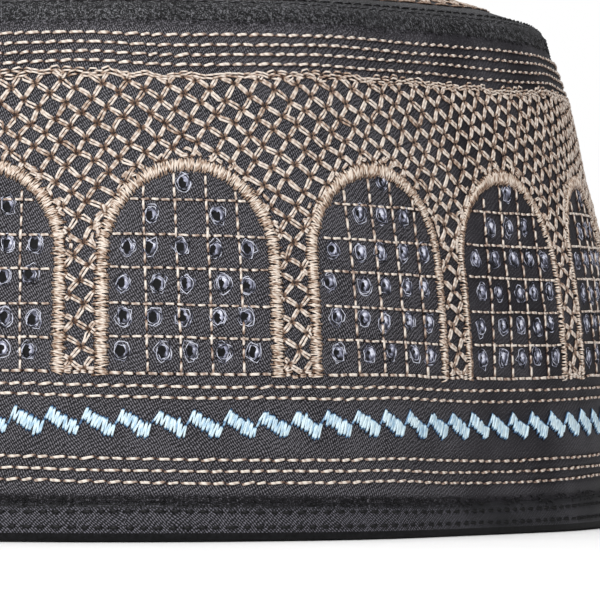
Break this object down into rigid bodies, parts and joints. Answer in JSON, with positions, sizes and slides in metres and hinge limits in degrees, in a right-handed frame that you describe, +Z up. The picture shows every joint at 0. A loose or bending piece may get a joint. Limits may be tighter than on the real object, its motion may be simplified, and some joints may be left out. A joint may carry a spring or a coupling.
{
  "type": "embroidered prayer cap",
  "caption": "Hollow brimless prayer cap: tall narrowing side band with raised satin-stitch arches, folded hem band and low domed crown.",
  "frame": {"origin": "centre of the cap's box, on the surface that its hem rests on", "axes": "+Z up towards the crown, -Y towards the front of the cap, +X towards its right side as seen from the front"},
  "size_m": [0.1678, 0.2005, 0.0974],
  "materials": {
    "charcoal_cotton": "fine twill cotton, charcoal, matt",
    "tan_thread": "rayon embroidery thread, light tan, silky",
    "blue_thread": "rayon embroidery thread, pale blue, silky",
    "lilac_thread": "fine embroidery thread, lilac grey, round the eyelets",
    "black_thread": "polyester sewing thread, black, on the hem and the crown"
  },
  "bodies": {
    "root": {"side_band": "charcoal_cotton", "hem_band": "charcoal_cotton", "crown": "charcoal_cotton", "satin_arch_01": "tan_thread", "satin_arch_02": "tan_thread", "satin_arch_03": "tan_thread", "satin_arch_04": "tan_thread", "satin_arch_05": "tan_thread", "satin_arch_06": "tan_thread", "satin_arch_07": "tan_thread", "satin_arch_08": "tan_thread", "satin_arch_09": "tan_thread", "satin_arch_10": "tan_thread", "satin_arch_11": "tan_thread", "satin_arch_12": "tan_thread", "satin_arch_13": "tan_thread", "satin_arch_14": "tan_thread", "satin_arch_15": "tan_thread", "satin_arch_16": "tan_thread", "satin_arch_17": "tan_thread"}
  },
  "joints": []
}
